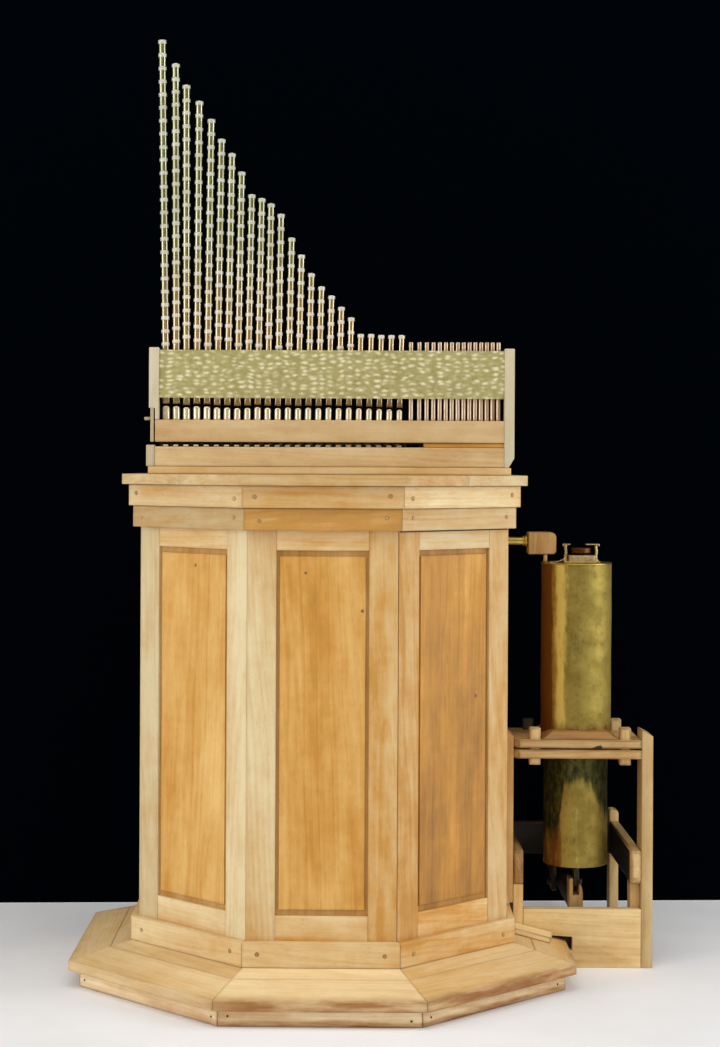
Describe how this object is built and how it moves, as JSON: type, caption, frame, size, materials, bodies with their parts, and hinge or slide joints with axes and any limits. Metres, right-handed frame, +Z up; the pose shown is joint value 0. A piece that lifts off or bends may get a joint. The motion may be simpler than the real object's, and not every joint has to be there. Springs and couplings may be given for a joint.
{
  "type": "water organ",
  "caption": "Water organ: eight-sided panelled wooden cabinet on a stepped base, wind chest with ringed bronze pipes and thin pipes, brass front plate and a lever air pump",
  "frame": {"origin": "middle of the eight-sided cabinet, on the floor", "axes": "+Z up, front with the brass plate towards -Y, pump on the +X side"},
  "size_m": [1.252, 1.142, 1.9946],
  "materials": {
    "pale_wood": "planed pale softwood boards, waxed",
    "golden_wood": "golden brown oiled boards",
    "base_wood": "worn boards of the step",
    "stand_wood": "rough sawn stand timbers",
    "plate_brass": "hand polished sheet with swirl marks",
    "pipe_bronze": "drawn bronze tube",
    "ring_silver": "bright pinkish white metal rings",
    "thin_copper": "plain copper coloured tube",
    "barrel_brass": "tarnished sheet brass",
    "rod_steel": "plain round bar"
  },
  "bodies": {
    "organ": {"base_floor": "base_wood", "base_riser": "base_wood", "step_outer_ring": "base_wood", "step_inner_ring": "base_wood", "skirting": "pale_wood", "frame_front": "pale_wood", "frame_front_right": "pale_wood", "frame_right": "pale_wood", "frame_back_right": "pale_wood", "frame_back": "pale_wood", "frame_back_left": "pale_wood", "frame_left": "pale_wood", "frame_front_left": "pale_wood", "wall_panels": "golden_wood", "cornice_lower": "pale_wood", "cornice_upper": "pale_wood", "top_slab": "pale_wood", "sole_board": "pale_wood", "wind_trunk": "pale_wood", "slider_guides": "golden_wood", "note_sliders": "pale_wood", "slot_closer": "golden_wood", "pipe_board": "pale_wood", "end_post_left": "pale_wood", "end_post_right": "pale_wood", "stop_lever": "golden_wood", "stop_block": "pale_wood", "front_plate": "plate_brass", "wide_pipes": "pipe_bronze", "pipe_rings": "ring_silver", "thin_pipes": "thin_copper", "key_levers": "golden_wood", "key_rod": "rod_steel", "key_cheeks": "pale_wood", "air_pipe": "barrel_brass", "elbow_block": "golden_wood", "outlet_tube": "barrel_brass", "pump_barrel": "barrel_brass", "pump_lid": "barrel_brass", "valve_gear": "barrel_brass", "platform_upper": "stand_wood", "platform_lower": "stand_wood", "barrel_collar": "stand_wood", "platform_pegs": "stand_wood", "main_post_right": "stand_wood", "main_post_left": "stand_wood", "side_beams": "stand_wood", "short_posts": "stand_wood", "back_rail": "stand_wood", "sill_board": "stand_wood", "step_batten": "stand_wood", "axle_brackets": "stand_wood", "lever_axle": "rod_steel"},
    "lever": {"pump_lever": "stand_wood"},
    "piston": {"pump_piston": "golden_wood"}
  },
  "joints": [
    {"name": "lever_rock", "type": "hinge", "parent": "organ", "child": "lever", "pos_m": [0.5615, 0.29, 0.125], "axis": [-1, 0, 0], "range_deg": [0, 18]},
    {"name": "piston_slide", "type": "slide", "parent": "organ", "child": "piston", "axis": [0, 0, 1], "range_m": [0, 0.068]}
  ],
  "couplings": [
    {"joint": "piston_slide", "follows": "lever_rock", "m_per_rad": 0.215}
  ]
}
